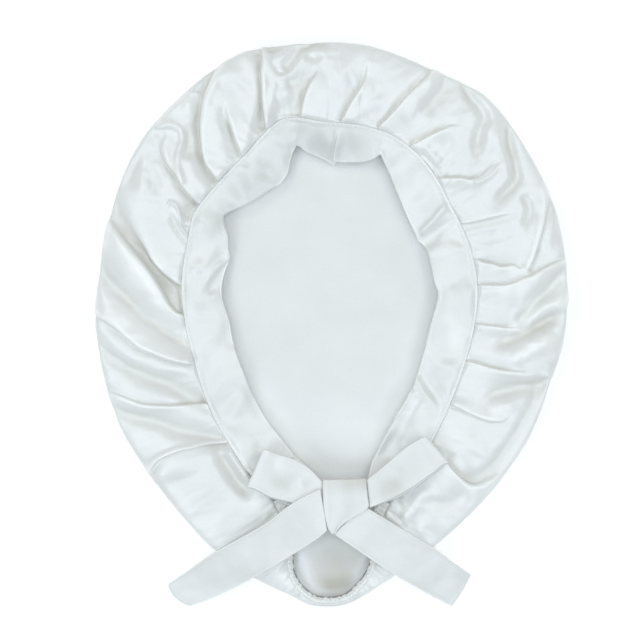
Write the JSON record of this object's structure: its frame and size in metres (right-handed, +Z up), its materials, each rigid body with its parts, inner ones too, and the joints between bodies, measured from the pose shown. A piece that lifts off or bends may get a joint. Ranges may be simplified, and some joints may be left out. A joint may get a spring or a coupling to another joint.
{
  "type": "sleep bonnet",
  "caption": "White satin sleep bonnet lying on its back, with a wide face band tied in a flat bow and a narrow elastic nape hem.",
  "frame": {"origin": "on the surface that the bonnet lies on, under the centre of its outline", "axes": "+Y from the nape hem to the forehead, +Z up out of the head opening, +X to the wearer's left"},
  "size_m": [0.3207, 0.3846, 0.0349],
  "materials": {
    "satin_crown": "white satin",
    "satin_band": "white satin",
    "satin_hem": "white satin over elastic, zigzag stitched",
    "satin_bow": "white satin ribbon"
  },
  "bodies": {
    "root": {"crown": "satin_crown", "front_band": "satin_band", "nape_hem": "satin_hem", "bow_knot": "satin_bow", "bow_loop_left": "satin_bow", "bow_loop_right": "satin_bow", "tie_tail_left": "satin_bow", "tie_tail_right": "satin_bow"}
  },
  "joints": []
}
